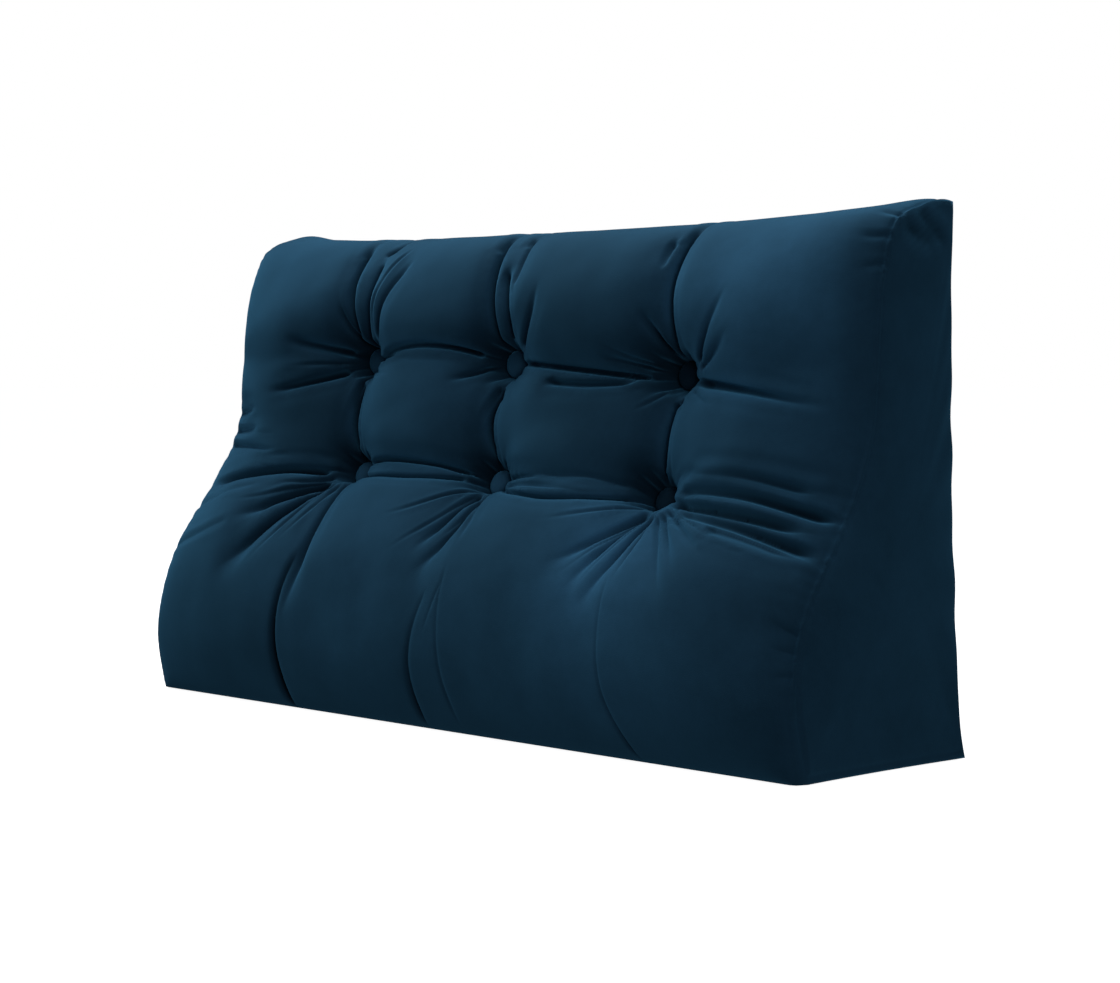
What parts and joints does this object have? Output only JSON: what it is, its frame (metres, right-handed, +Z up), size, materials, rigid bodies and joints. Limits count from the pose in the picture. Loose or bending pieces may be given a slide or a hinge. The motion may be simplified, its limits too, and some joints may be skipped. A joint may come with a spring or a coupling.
{
  "type": "wedge back cushion",
  "caption": "Wedge-shaped velvet back cushion with a flat base and back and a button-tufted, crowned face to lean on.",
  "frame": {"origin": "middle of the bounding box's underside, on the surface the cushion stands on", "axes": "+X along the length, to the right seen from the tufted face; +Y from the tufted face towards the flat back; +Z up"},
  "size_m": [0.927, 0.2582, 0.5007],
  "materials": {
    "velvet": "petrol blue velvet, short matte pile with a pale sheen"
  },
  "bodies": {
    "root": {"cushion": "velvet", "button_upper_left": "velvet", "button_upper_middle": "velvet", "button_upper_right": "velvet", "button_lower_left": "velvet", "button_lower_middle": "velvet", "button_lower_right": "velvet"}
  },
  "joints": []
}
